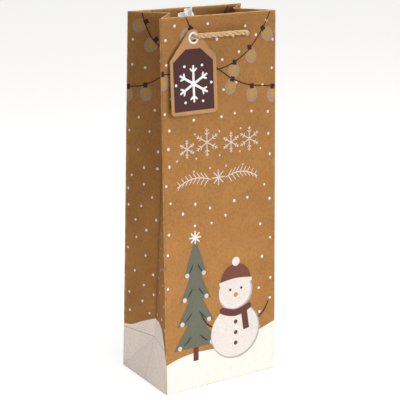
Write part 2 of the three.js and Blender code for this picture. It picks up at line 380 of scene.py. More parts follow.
@dataclass(frozen=True)
class BagSizes:
    """Sizes of the folded sheet, in metres."""
    width: float = 0.127
    height: float = 0.36
    base_depth: float = 0.086
    mouth_depth: float = 0.058
    tuck: float = 0.028
    apex_tuck: float = 0.012
    paper: float = 0.0003
    laminate: float = 0.0022
    hem: float = 0.040
    hem_inset: float = 0.004
    hole_across: float = 0.0312
    hole_height: float = 0.3396
    hole_radius: float = 0.0031

    @property
    def lean(self) -> float:
        """Angle at which the front and back walls lean in."""
        return math.asin((self.base_depth - self.mouth_depth) / 2 / self.height)


BAG = BagSizes()


@dataclass(frozen=True)
class WallSurface:
    """Maps across, up and outwards on the front or back wall to a point."""
    back: bool = False
    size: BagSizes = BAG

    def relief(self, x: float, s: float) -> float:
        """How far the paper swells or sinks at a place, nothing at its folds.

        Args:
            x: Across, from the middle.
            s: Up the paper from the base.

        Returns:
            The swell, out of the wall.
        """
        half = self.size.width / 2
        across = max(0.0, 1 - (x / half) ** 2)
        up = max(0.0, min(1.0, s / 0.05))
        seed = 5.0 if self.back else 0.0
        wave = 0.0012 * noise.noise(Vector((x * 14 + seed, s * 9, 0.3)))
        belly = 0.0009 * math.sin(math.pi * min(1.0, s / 0.3)) ** 2
        stiff = max(0.0, min(1.0, (s - 0.30) / 0.03))
        crumple = 0.0011 * stiff * noise.noise(Vector((x * 34 + seed, s * 30, 2.6)))
        handled = -0.0008 * stiff * math.exp(-((x + 0.052) / 0.009) ** 2) * (0 if self.back else 1)
        return across * up * ((1 - 0.6 * stiff) * wave + belly * (1 - stiff) + crumple) + handled * up

    def place(self, x: float, s: float, n: float) -> Vector:
        """Returns the point at x across, s up the slope and n outwards, in metres.

        Args:
            x: Across, from the middle.
            s: Up the paper from the base.
            n: Out of the paper.

        Returns:
            The point in space.
        """
        lean = self.size.lean
        out = n + self.relief(x, s)
        y = -self.size.base_depth / 2 + s * math.sin(lean) - out * math.cos(lean)
        z = s * math.cos(lean) + out * math.sin(lean)
        return Vector((-x, -y, z)) if self.back else Vector((x, y, z))


@dataclass(frozen=True)
class GussetSurface:
    """Maps distance from the corner fold, height and outwards on half a side gusset to a point."""
    side_x: int
    side_y: int
    size: BagSizes = BAG

    def sunk(self, u: float, v: float) -> float:
        """How far the side is pushed in, from 0 at the corner to the middle crease.

        Args:
            u: Share from the corner fold to the middle crease.
            v: Distance up the slope.

        Returns:
            How far it sinks inwards.
        """
        apex = self.size.base_depth / 2
        if v <= apex:
            return self.size.apex_tuck * min(u, v / apex)
        rise = (v - apex) / (self.size.height - apex)
        soft = 0.0008 * math.sin(math.pi * u) * math.sin(math.pi * min(1, rise * 1.2))
        return u * (self.size.apex_tuck + (self.size.tuck - self.size.apex_tuck) * rise) - soft

    def place(self, across: float, v: float, n: float) -> Vector:
        """Returns the point at a distance from the corner, a height and n outwards, in metres.

        Args:
            across: Distance from the corner fold.
            v: Distance up the slope.
            n: Out of the paper.

        Returns:
            The point in space.
        """
        size = self.size
        u = max(0.0, min(1.0, across / (size.base_depth / 2)))
        corner_y = size.base_depth / 2 - v * math.sin(size.lean)
        point = Vector((size.width / 2 - self.sunk(u, v), corner_y * (1 - u)))
        ahead = Vector((size.width / 2 - self.sunk(1.0, v), 0.0)) - Vector((size.width / 2, corner_y))
        ahead.normalize()
        point += Vector((-ahead.y, ahead.x)) * n
        return Vector((self.side_x * point.x, self.side_y * point.y, v * math.cos(size.lean)))


# ---------------------------------------------------------------- mesh helpers

class Meshes:
    """Builds mesh objects from plain lists."""

    @staticmethod
    def make(name: str, points: Sequence[Vector], faces: Sequence[Sequence[int]],
             materials: Sequence[bpy.types.Material], indices: Sequence[int] | None = None,
             smooth: bool = True) -> bpy.types.Object:
        """Makes an object from points and faces.

        Args:
            name: The object's name.
            points: Vertex places in metres.
            faces: Vertex numbers of each face.
            materials: The object's materials.
            indices: Material number of each face, all 0 if left out.
            smooth: Whether faces are shaded smooth.

        Returns:
            The new object, linked to the scene.
        """
        mesh = bpy.data.meshes.new(name)
        mesh.from_pydata([tuple(p) for p in points], [], [tuple(f) for f in faces])
        for material in materials:
            mesh.materials.append(material)
        if indices is not None:
            mesh.polygons.foreach_set("material_index", list(indices))
        mesh.polygons.foreach_set("use_smooth", [smooth] * len(mesh.polygons))
        mesh.update()
        made = bpy.data.objects.new(name, mesh)
        bpy.context.collection.objects.link(made)
        return made

    @staticmethod
    def grid(columns: int, rows: int) -> list[tuple[int, int, int, int]]:
        """Faces of a grid whose vertices run row by row."""
        return [(r * columns + c, r * columns + c + 1, (r + 1) * columns + c + 1, (r + 1) * columns + c)
                for r in range(rows - 1) for c in range(columns - 1)]

    @staticmethod
    def thicken(made: bpy.types.Object, thickness: float, offset: float = -1.0) -> bpy.types.Object:
        """Gives a sheet its thickness and applies it.

        Args:
            made: The object to change.
            thickness: The paper's thickness.
            offset: Which way it grows, -1 inwards and 1 outwards.

        Returns:
            The same object.
        """
        solid = made.modifiers.new("thickness", "SOLIDIFY")
        solid.thickness = thickness
        solid.offset = offset
        solid.use_even_offset = False
        depsgraph = bpy.context.evaluated_depsgraph_get()
        made.data = bpy.data.meshes.new_from_object(made.evaluated_get(depsgraph))
        made.modifiers.clear()
        return made

    @staticmethod
    def outwards(made: bpy.types.Object, direction: Callable[[Vector], Vector]) -> None:
        """Turns a sheet's faces so that they look along a direction."""
        turn = sum(p.normal.dot(direction(p.center)) * p.area for p in made.data.polygons)
        if turn < 0:
            made.data.flip_normals()

    @staticmethod
    def tube(points: Sequence[Vector], radius: float, sides: int) -> tuple[list[Vector], list[tuple], list[float]]:
        """Sweeps a round section along points.

        Args:
            points: The centre line.
            radius: The tube's radius.
            sides: Number of sides of the section.

        Returns:
            Vertices, faces, and the length along the line at each ring.
        """
        verts, faces, along = [], [], [0.0]
        normal = Vector((0.8, 0.5, 0.3))
        for i, point in enumerate(points):
            ahead = points[min(i + 1, len(points) - 1)] - points[max(i - 1, 0)]
            ahead.normalize()
            normal = (normal - ahead * normal.dot(ahead)).normalized()
            side = ahead.cross(normal)
            for k in range(sides):
                turn = 2 * math.pi * k / sides
                verts.append(point + (normal * math.cos(turn) + side * math.sin(turn)) * radius)
            if i:
                along.append(along[-1] + (point - points[i - 1]).length)
        for i in range(len(points) - 1):
            for k in range(sides):
                a, b = i * sides + k, i * sides + (k + 1) % sides
                faces.append((a, b, b + sides, a + sides))
        faces.append(tuple(reversed(range(sides))))
        faces.append(tuple(range(len(verts) - sides, len(verts))))
        return verts, faces, along


def curve_through(points: Path, closed: bool = False, steps: int = 6) -> list[Point]:
    """Runs a smooth curve through points.

    Args:
        points: The points to pass through.
        closed: Whether the last point runs on to the first.
        steps: Number of pieces between two points.

    Returns:
        The points of the smooth curve.
    """
    count = len(points)
    result: list[Point] = []
    for i in range(count if closed else count - 1):
        if closed:
            p0, p1, p2, p3 = (points[(i + k - 1) % count] for k in range(4))
        else:
            p0, p1, p2, p3 = (points[max(0, min(count - 1, i + k - 1))] for k in range(4))
        for k in range(steps):
            t = k / steps
            result.append(tuple(
                0.5 * (2 * b + (c - a) * t + (2 * a - 5 * b + 4 * c - d) * t * t + (3 * b - a - 3 * c + d) * t ** 3)
                for a, b, c, d in zip(p0, p1, p2, p3)))
    if not closed:
        result.append(tuple(points[-1]))
    return result


# ---------------------------------------------------------------- printed picture

@dataclass
class Print:
    """Flat printed shapes on one surface, in millimetres, laid one over another in order."""
    name: str
    place: Place
    width: tuple[float, float]
    height: tuple[float, float]
    lift: float = 0.05
    step: float = 0.02
    shapes: list[tuple[Ink, list[Point]]] = field(default_factory=list)

    def fill(self, ink: Ink, points: Path, smooth: bool = True) -> None:
        """Adds a filled outline, smoothed through its points or straight between them.

        Args:
            ink: The ink to print in.
            points: The points it runs through.
            smooth: Whether it is curved through its points.
        """
        outline = curve_through(points, closed=True, steps=5) if smooth else list(points)
        (low_x, high_x), (low_s, high_s) = self.width, self.height
        self.shapes.append((ink, [(min(high_x, max(low_x, x)), min(high_s, max(low_s, s))) for x, s in outline]))

    def stroke(self, ink: Ink, points: Path, width: float, tip: float = 1.0) -> None:
        """Adds a brush line along points, with its ends narrowed to a share of its width.

        Args:
            ink: The ink to print in.
            points: The points it runs through.
            width: The stroke's full width.
            tip: The share of the width left at its ends.
        """
        line = curve_through(points, steps=5)
        left, right = [], []
        for i, (x, s) in enumerate(line):
            ax, as_ = line[max(0, i - 1)]
            bx, bs = line[min(len(line) - 1, i + 1)]
            length = math.hypot(bx - ax, bs - as_) or 1.0
            share = i / (len(line) - 1)
            half = width / 2 * (tip + (1 - tip) * math.sin(math.pi * share) ** 0.7)
            nx, ns = -(bs - as_) / length * half, (bx - ax) / length * half
            left.append((x + nx, s + ns))
            right.append((x - nx, s - ns))
        self.fill(ink, left + right[::-1], smooth=False)

    def disc(self, ink: Ink, x: float, s: float, wide: float, tall: float | None = None,
             turn: float = 0.0) -> None:
        """Adds an oval of a full width and height, turned by an angle in degrees.

        Args:
            ink: The ink to print in.
            x: Across, from the middle.
            s: Up the paper from the base.
            wide: The width.
            tall: The height, or none for a circle.
            turn: The turn in degrees.
        """
        a, b = wide / 2, (wide if tall is None else tall) / 2
        c, d = math.cos(math.radians(turn)), math.sin(math.radians(turn))
        ring = [(a * math.cos(t), b * math.sin(t)) for t in (2 * math.pi * k / 22 for k in range(22))]
        self.fill(ink, [(x + p * c - q * d, s + p * d + q * c) for p, q in ring], smooth=False)

    def _layers(self) -> list[int]:
        """Stacks each shape one layer above the highest earlier shape whose box it meets."""
        boxes: list[tuple[float, ...]] = []
        layers: list[int] = []
        for _, outline in self.shapes:
            xs, ys = zip(*outline)
            low_x, low_y, high_x, high_y = min(xs), min(ys), max(xs), max(ys)
            met = [layer for (a, b, c, d), layer in zip(boxes, layers)
                   if low_x < c and a < high_x and low_y < d and b < high_y]
            layers.append(1 + max(met, default=-1))
            boxes.append((low_x, low_y, high_x, high_y))
        return layers

    @staticmethod
    def _dense(outline: Path, cell: float) -> list[Point]:
        """Splits an outline's long edges into pieces no longer than a cell.

        Args:
            outline: The closed outline.
            cell: The longest piece allowed.

        Returns:
            The outline with points added.
        """
        result: list[Point] = []
        for (ax, ay), (bx, by) in zip(outline, [*outline[1:], outline[0]]):
            pieces = max(1, math.ceil(math.hypot(bx - ax, by - ay) / cell))
            result += [(ax + (bx - ax) * k / pieces, ay + (by - ay) * k / pieces) for k in range(pieces)]
        return result

    def build(self, cell: float = 4.0) -> bpy.types.Object:
        """Builds every shape as one thin mesh on the surface.

        Args:
            cell: Spacing in millimetres of the points that make a large shape follow the surface.

        Returns:
            The print's object.
        """
        points: list[Vector] = []
        faces: list[tuple[int, ...]] = []
        indices: list[int] = []
        inks = list(dict.fromkeys(ink for ink, _ in self.shapes))
        for layer, (ink, rough_outline) in zip(self._layers(), self.shapes):
            outline = self._dense(rough_outline, cell)
            xs, ys = [p[0] for p in outline], [p[1] for p in outline]
            inner = [
                Vector((x * cell, y * cell))
                for x in range(math.ceil(min(xs) / cell), math.floor(max(xs) / cell) + 1)
                for y in range(math.ceil(min(ys) / cell), math.floor(max(ys) / cell) + 1)
            ]
            count = len(outline)
            rim = [(i, (i + 1) % count) for i in range(count)]
            flat, _, triangles, *_ = delaunay_2d_cdt(
                [Vector(p) for p in outline] + inner, rim, [list(range(count))], 1, 1e-4)
            used = {v: len(points) + k for k, v in enumerate(sorted({v for t in triangles for v in t}))}
            lift = (self.lift + self.step * layer) / 1000
            for v in sorted(used):
                points.append(self.place(flat[v].x / 1000, flat[v].y / 1000, lift))
            faces += [tuple(used[v] for v in t) for t in triangles]
            indices += [inks.index(ink)] * len(triangles)
        made = Meshes.make(self.name, points, faces, [ink_finish(ink) for ink in inks], indices)
        base = self.place(sum(self.width) / 2000, sum(self.height) / 2000, 0.0)
        out = self.place(sum(self.width) / 2000, sum(self.height) / 2000, 0.001) - base
        for polygon in made.data.polygons:
            if polygon.normal.dot(out) < 0:
                polygon.flip()
        return made


class Motifs:
    """The parts of the printed picture, each drawn on a given print."""

    @staticmethod
    def snowfall(sheet: Print, seed: int, count: int, gap: float,
                 keep_out: Sequence[tuple[float, ...]] = ()) -> None:
        """Scatters small flakes at least a gap apart, outside the boxes kept free.

        Args:
            sheet: The print to draw on.
            seed: The seed of the scatter.
            count: How many flakes.
            gap: The least distance between two.
            keep_out: Boxes kept free, as low x, low s, high x, high s.
        """
        rng = random.Random(seed)
        placed: list[Point] = []
        (low_x, high_x), (low_s, high_s) = sheet.width, sheet.height
        for _ in range(count * 30):
            x, s = rng.uniform(low_x + 3, high_x - 3), rng.uniform(low_s + 62, high_s - 5)
            if any(a <= x <= c and b <= s <= d for a, b, c, d in keep_out):
                continue
            if all(math.hypot(x - a, s - b) > gap for a, b in placed):
                placed.append((x, s))
                sheet.disc(Ink.SNOW, x, s, rng.uniform(2.1, 3.0), rng.uniform(2.3, 3.2))
            if len(placed) == count:
                break

    @staticmethod
    def bulb(sheet: Print, x: float, s: float, angle: float) -> None:
        """Draws a lamp hanging from its socket at x, s, pointing along an angle in degrees.

        Args:
            sheet: The print to draw on.
            x: The socket, across.
            s: The socket, up the paper.
            angle: Which way it points, in degrees.
        """
        c, d = math.cos(math.radians(angle)), math.sin(math.radians(angle))

        def at(ahead: float, aside: float) -> Point:
            """A point ahead of and beside the socket."""
            return (x + ahead * c - aside * d, s + ahead * d + aside * c)

        sheet.disc(Ink.GLASS, *at(7.8, 0), 15.4, 12.6, angle)
        sheet.fill(Ink.GLOW, [at(2.6, 0), at(4.4, 2.2), at(7.4, 3.0), at(10.0, 1.9), at(12.4, 0), at(10.0, -1.9),
                              at(7.4, -3.0), at(4.4, -2.2)])
        sheet.fill(Ink.WIRE, [at(-2.2, -2.1), at(-2.2, 2.1), at(2.6, 2.4), at(2.6, -2.4)], smooth=False)

    @classmethod
    def lights(cls, sheet: Print, wire: Path, bulbs: Sequence[tuple[float, float, float]]) -> None:
        """Draws a wire and the lamps on it."""
        for x, s, angle in bulbs:
            cls.bulb(sheet, x, s, angle)
        sheet.stroke(Ink.WIRE, wire, 1.1)

    @staticmethod
    def star(sheet: Print, x: float, s: float, size: float, ink: Ink, arms: int = 3, width: float = 1.3) -> None:
        """Draws crossing strokes as a simple star."""
        for k in range(arms):
            turn = math.pi * k / arms + math.pi / 2
            dx, ds = math.cos(turn) * size / 2, math.sin(turn) * size / 2
            sheet.stroke(ink, [(x - dx, s - ds), (x, s), (x + dx, s + ds)], width, tip=0.75)

    @classmethod
    def flake(cls, sheet: Print, x: float, s: float, size: float) -> None:
        """Draws a line snowflake: six arms, each with a pair of small barbs."""
        cls.star(sheet, x, s, size, Ink.MOTIF, 3, 1.0)
        for k in range(6):
            turn = math.pi * k / 3 + math.pi / 2
            for share, barb in ((0.52, 0.26), (0.78, 0.18)):
                root = (x + math.cos(turn) * size / 2 * share, s + math.sin(turn) * size / 2 * share)
                for lean in (-0.85, 0.85):
                    end = (root[0] + math.cos(turn + lean) * size / 2 * barb,
                           root[1] + math.sin(turn + lean) * size / 2 * barb)
                    sheet.stroke(Ink.MOTIF, [root, end], 0.8, tip=0.7)

    @staticmethod
    def sprig(sheet: Print, x: float, s: float, way: int) -> None:
        """Draws a curved fir twig with short needles, running left or right from a point.

        Args:
            sheet: The print to draw on.
            x: Where the stem starts, across.
            s: Where the stem starts, up the paper.
            way: 1 to the right, -1 to the left.
        """
        stem = curve_through([(x, s), (x + way * 12, s + 3.2), (x + way * 25, s + 2.2), (x + way * 37, s - 3.4)])
        sheet.stroke(Ink.MOTIF, stem[::3] + [stem[-1]], 1.1, tip=0.5)
        for i in range(2, len(stem) - 1, 2):
            px, ps = stem[i]
            reach = 6.4 - 3.0 * i / len(stem)
            for up in (-1, 1):
                sheet.stroke(Ink.MOTIF, [(px, ps), (px + way * reach * 0.75, ps + up * reach)], 0.85, tip=0.6)

    @classmethod
    def ornament_rows(cls, sheet: Print) -> None:
        """Draws two rows of snowflakes, dots and twigs.

        Args:
            sheet: The print to draw on.
        """
        for x, s, size in ((-37, 238, 18), (-15, 242, 27), (12, 239, 20), (33, 240, 24)):
            cls.flake(sheet, x, s, size)
        for x, s in ((-27, 228), (-1, 251), (-1, 228), (22, 229), (23, 251), (-48, 228), (-28, 251), (46, 229)):
            sheet.disc(Ink.MOTIF, x, s, 1.9)
        cls.star(sheet, -3, 207, 15, Ink.MOTIF, 4, 1.2)
        cls.sprig(sheet, -11, 206, -1)
        cls.sprig(sheet, 5, 206, 1)
        for x, s in ((-12, 217), (6, 217), (-30, 216), (25, 216)):
            sheet.disc(Ink.MOTIF, x, s, 1.9)

    @staticmethod
    def ground(sheet: Print, top: Path) -> None:
        """Draws the snow below a line.

        Args:
            sheet: The print to draw on.
            top: The upper line of the snow.
        """
        line = curve_through(top)
        low = sheet.height[0]
        sheet.fill(Ink.SNOW, line + [(line[-1][0], low), (line[0][0], low)], smooth=False)

    @classmethod
    def tree(cls, sheet: Print, x: float, foot: float, tiers: int = 4, rise: float = 24.0) -> None:
        """Draws a plain fir tree.

        Args:
            sheet: The print to draw on.
            x: The middle of the trunk.
            foot: The height of the trunk's foot.
            tiers: How many equal triangles are stacked.
            rise: The height from one tier to the next.
        """
        sheet.fill(Ink.SCARF, [(x - 3, foot), (x + 3, foot), (x + 3, foot + 18), (x - 3, foot + 18)], smooth=False)
        for tier in range(tiers):
            low, half = foot + 14 + tier * rise, 25.0 * (1 - 0.16 * tier)
            sheet.fill(Ink.FIR, [(x - half, low), (x + half, low), (x, low + 1.6 * rise)], smooth=False)
            for side in (-1, 1):
                sheet.stroke(Ink.TWIG, [(x + side * half * 0.2, low + 12), (x + side * half * 0.35, low + 8),
                                        (x + side * half * 0.55, low + 4)], 1.5, tip=0.2)
                sheet.disc(Ink.BAUBLE, x + side * half * 0.72, low + 2, 4.6)
        cls.star(sheet, x, foot + 14 + (tiers - 1) * rise + 1.6 * rise, 13, Ink.SNOW, 4, 1.6)

    @staticmethod
    def snowman(sheet: Print, x: float, foot: float) -> None:
        """Draws a plain snowman of two balls with a round cap, a scarf, buttons and twig arms.

        Args:
            sheet: The print to draw on.
            x: The middle of the balls.
            foot: The height of its lowest point.
        """
        body, head = foot + 27, foot + 68
        for side in (-1, 1):
            arm = [(x + side * 24, body + 8), (x + side * 33, body + 14), (x + side * 40, body + 25)]
            sheet.stroke(Ink.TWIG, arm, 1.8, tip=0.5)
        for middle, wide, tall in ((body, 58, 56), (head, 40, 38)):
            sheet.disc(Ink.STRAND, x, middle, wide, tall)
            sheet.disc(Ink.PALE, x - 0.7, middle + 0.8, wide - 2.4, tall - 2.4)
        sheet.fill(Ink.SCARF, [(x - 16, head - 14), (x, head - 18), (x + 16, head - 14), (x + 17, head - 20),
                               (x, head - 25), (x - 17, head - 20)])
        sheet.fill(Ink.SCARF, [(x + 6, head - 20), (x + 13, head - 19), (x + 16, head - 40), (x + 9, head - 41)],
                   smooth=False)
        for k in range(3):
            sheet.disc(Ink.SCARF, x, body + 10 - 11 * k, 4.4)
        for side in (-1, 1):
            sheet.disc(Ink.TWIG, x + side * 6.5, head + 3, 2.8)
        sheet.disc(Ink.CARROT, x, head - 3, 5.0)
        dome = [(x + 18 * math.cos(math.radians(k)), head + 10 + 19 * math.sin(math.radians(k)))
                for k in range(0, 181, 20)]
        sheet.fill(Ink.CAP, dome, smooth=False)
        sheet.stroke(Ink.PALE, [(x - 19, head + 10), (x, head + 12), (x + 19, head + 10)], 4.0, tip=0.9)
        sheet.disc(Ink.PALE, x, head + 31, 9.0)


# ---------------------------------------------------------------- sub-assemblies

@dataclass
class Studio:
    """Pale floor, soft lights and the camera."""
    azimuth: float = -32.7
    elevation: float = 16.1
    distance: float = 1.202
    target: tuple[float, float, float] = (-0.0004, 0.0, 0.1753)
    roll: float = 0.54
    lens: float = 110.9

    def camera(self) -> bpy.types.Object:
        """Makes the camera and makes it the scene's own."""
        a, e, r = (math.radians(v) for v in (self.azimuth, self.elevation, self.roll))
        back = Vector((math.sin(a) * math.cos(e), -math.cos(a) * math.cos(e), math.sin(e)))
        right = Vector((0, 0, 1)).cross(back).normalized()
        up = back.cross(right)
        tilted_right = right * math.cos(r) + up * math.sin(r)
        tilted_up = up * math.cos(r) - right * math.sin(r)
        data = bpy.data.cameras.new("camera")
        data.lens = self.lens
        data.sensor_width = 36.0
        made = bpy.data.objects.new("camera", data)
        turn = Matrix((tilted_right, tilted_up, back)).transposed().to_4x4()
        made.matrix_world = Matrix.Translation(Vector(self.target) + back * self.distance) @ turn
        bpy.context.collection.objects.link(made)
        bpy.context.scene.camera = made
        return made

    def floor(self) -> bpy.types.Object:
        """Lays a wide pale floor just under the bag."""
        z = -0.0002
        corners = [Vector((x, y, z)) for x, y in ((-6, -6), (6, -6), (6, 6), (-6, 6))]
        made = Meshes.make("floor", corners, [(0, 1, 2, 3)], [self._floor_material()])
        return made

    @staticmethod
    def _floor_material() -> bpy.types.Material:
        """A plain matt white that glows a little, so that it stays pale far from the lamps."""
        made = bpy.data.materials.new("studio floor")
        made.use_nodes = True
        tree = made.node_tree
        shader = tree.nodes["Principled BSDF"]
        shader.inputs["Base Color"].default_value = (0.8, 0.8, 0.8, 1)
        shader.inputs["Roughness"].default_value = 0.9
        shader.inputs["Specular IOR Level"].default_value = 0.1
        shader.inputs["Emission Color"].default_value = (1, 1, 1, 1)
        rays = NodeTools.node(tree, "ShaderNodeLightPath").outputs["Is Camera Ray"]
        glow = NodeTools.node(tree, "ShaderNodeMath", {0: rays}, operation="MULTIPLY")
        glow.inputs[1].default_value = 0.5
        tree.links.new(glow.outputs[0], shader.inputs["Emission Strength"])
        return made

    @staticmethod
    def lamp(name: str, place: tuple[float, float, float], aim: tuple[float, float, float], size: float,
             power: float, tint: tuple[float, float, float] = (1, 1, 1)) -> bpy.types.Object:
        """Makes a square soft lamp.

        Args:
            name: The lamp's name.
            place: Where it stands.
            aim: The point it shines at.
            size: Its width.
            power: Its power in watts.
            tint: Its colour.

        Returns:
            The lamp's object.
        """
        data = bpy.data.lights.new(name, "AREA")
        data.size = size
        data.energy = power
        data.color = tint
        made = bpy.data.objects.new(name, data)
        made.location = place
        made.rotation_euler = (Vector(aim) - Vector(place)).to_track_quat("-Z", "Y").to_euler()
        made.visible_camera = False
        bpy.context.collection.objects.link(made)
        return made

    def light(self) -> None:
        """Sets the surround and the lamps."""
        world = bpy.data.worlds.new("studio")
        bpy.context.scene.world = world
        world.use_nodes = True
        shader = world.node_tree.nodes["Background"]
        shader.inputs[0].default_value = (1.0, 0.96, 0.92, 1)
        rays = NodeTools.node(world.node_tree, "ShaderNodeLightPath").outputs["Is Camera Ray"]
        pale = NodeTools.node(world.node_tree, "ShaderNodeMath", {0: rays}, operation="MULTIPLY_ADD")
        pale.inputs[1].default_value = 0.8
        pale.inputs[2].default_value = 0.17
        world.node_tree.links.new(pale.outputs[0], shader.inputs[1])
        self.lamp("key", (1.2, -1.5, 1.1), (0, 0, 0.14), 0.9, 26.5, (1.0, 0.985, 0.96))
        self.lamp("low left", (-0.36, -0.14, 0.03), (-0.06, 0, 0.0), 0.1, 0.5, (1.0, 0.93, 0.84))
        self.lamp("low front", (-0.04, -0.36, 0.03), (0, 0, 0.0), 0.12, 0.62, (1.0, 0.97, 0.93))
        self.lamp("mouth", (0.03, -0.06, 0.95), (0, 0, 0.35), 0.3, 2.6)
        overhead = bpy.data.lights.new("overhead", "SUN")
        overhead.energy = 1.0
        overhead.angle = math.radians(60)
        bpy.context.collection.objects.link(bpy.data.objects.new("overhead", overhead))
        scene = bpy.context.scene
        scene.view_settings.view_transform = "Standard"
        scene.view_settings.look = "None"


@dataclass
class RopeHandle:
    """A twisted rope run through two holes of a wall, with a knot on each inner end."""
    surface: WallSurface
    body: str
    diameter: float = 0.0048
    length: float = 0.300
    strands: int = 3
    lay: float = 0.019

    def route(self) -> list[Vector]:
        """The centre line from one knot to the other, through the same points as the solid."""
        size = self.surface.size
        bend_out = [(9.8, 2.4, 6.3), (6.7, 2.3, 5.8), (3.9, 1.8, 4.5), (1.5, 1.0, 2.5)]
        bend_in = [(0, 0, 0), (-1.1, -1.5, -2.6), (-1.9, -3.9, -4.7), (-2.5, -6.7, -6.0), (-2.7, -9.9, -6.4)]
        straight = size.hole_across * 1000 - bend_out[0][0]
        tail = self.length * 500 - straight - 25.5
        drops = [tail * share for share in (0.12, 0.3, 0.5, 0.7, 0.86, 1)]
        hanging = [(-2.7, -9.9 - drop, -6.4 - math.tan(size.lean) * drop) for drop in drops]
        offsets = [(size.hole_across * 1000 - straight / 2, 2.4, 6.3)] + bend_out + bend_in + hanging
        half = [((size.hole_across * 1000 - x) / 1000, size.hole_height + s / 1000, n / 1000 - size.laminate / 2)
                for x, s, n in offsets]
        points = [(-x, s, n) for x, s, n in reversed(half)] + [(0.0, half[0][1], half[0][2])] + half
        return [self._flat(x, s, n) for x, s, n in points]

    def _flat(self, x: float, s: float, n: float) -> Vector:
        """A point on the wall's own flat frame, without the paper's swell."""
        return self.surface.place(x, s, n - self.surface.relief(x, s))

    @staticmethod
    def smooth(points: Sequence[Vector], steps: int) -> list[Vector]:
        """Runs a smooth curve through points in space."""
        flat = curve_through([tuple(p) for p in points], steps=steps)
        return [Vector(p) for p in flat]

    def build(self) -> bpy.types.Object:
        """Returns:
            The rope's object.
        """
        side = "back" if self.surface.back else "front"
        line = self.smooth(self.route(), 22)
        strand = self.diameter / 2 / (1 + 2 / math.sqrt(3)) * 1.03
        centre = strand * 2 / math.sqrt(3)
        verts: list[Vector] = []
        faces: list[tuple] = []
        coords: list[tuple[float, float]] = []
        normal = Vector((1, 0, 0))
        rings = []
        travelled = 0.0
        for i, point in enumerate(line):
            ahead = (line[min(i + 1, len(line) - 1)] - line[max(i - 1, 0)]).normalized()
            normal = (normal - ahead * normal.dot(ahead)).normalized()
            travelled += (point - line[i - 1]).length if i else 0.0
            rings.append((point, normal.copy(), ahead.cross(normal), travelled))
        for k in range(self.strands):
            spun = []
            for point, up, across, distance in rings:
                turn = 2 * math.pi * (distance / self.lay + k / self.strands)
                spun.append(point + (up * math.cos(turn) + across * math.sin(turn)) * centre)
            tube, quads, along = Meshes.tube(spun, strand, 9)
            base = len(verts)
            verts += tube
            faces += [tuple(v + base for v in q) for q in quads]
            coords += [(along[j // 9] * 400, (j % 9) / 9) for j in range(len(tube))]
        made = Meshes.make(f"{side}_twisted_rope", verts, faces, [RopeFibre().material()])
        layer = made.data.uv_layers.new(name="fibre")
        for loop in made.data.loops:
            layer.data[loop.index].uv = coords[loop.vertex_index]
        knots = [self.knot(side, end) for end in ("a", "b")]
        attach(made, self.body)
        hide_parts(f"{side}_rope")
        tuple(line[0])
        [tuple(p) for p in line]
        log.info("%s rope handle: %d points on its route", side, len(line))
        return made

    def knot(self, side: str, end: str) -> bpy.types.Object:
        """Ties the overhand knot that holds one end inside the bag.

        Args:
            side: The wall it belongs to.
            end: The end of the rope.

        Returns:
            The knot's object.
        """
        low, high = (Vector(v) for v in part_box(f"{side}_knot_{end}"))
        middle = (low + high) / 2
        loop = []
        for k in range(72):
            t = 2 * math.pi * k / 72
            x = (math.sin(t) + 2 * math.sin(2 * t)) / 3
            y = (math.cos(t) - 2 * math.cos(2 * t)) / 3
            loop.append(middle + Vector((x * 3.3, -math.sin(3 * t) * 2.4, y * 3.3)) / 1000)
        verts, faces, along = Meshes.tube(loop + loop[:1], self.diameter / 2 * 0.92, 10)
        made = Meshes.make(f"{side}_tied_knot_{end}", verts, faces, [RopeFibre().material()])
        layer = made.data.uv_layers.new(name="fibre")
        for corner in made.data.loops:
            layer.data[corner.index].uv = (along[corner.vertex_index // 10] * 400, (corner.vertex_index % 10) / 10)
        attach(made, self.body)
        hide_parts(f"{side}_knot_{end}")
        return made


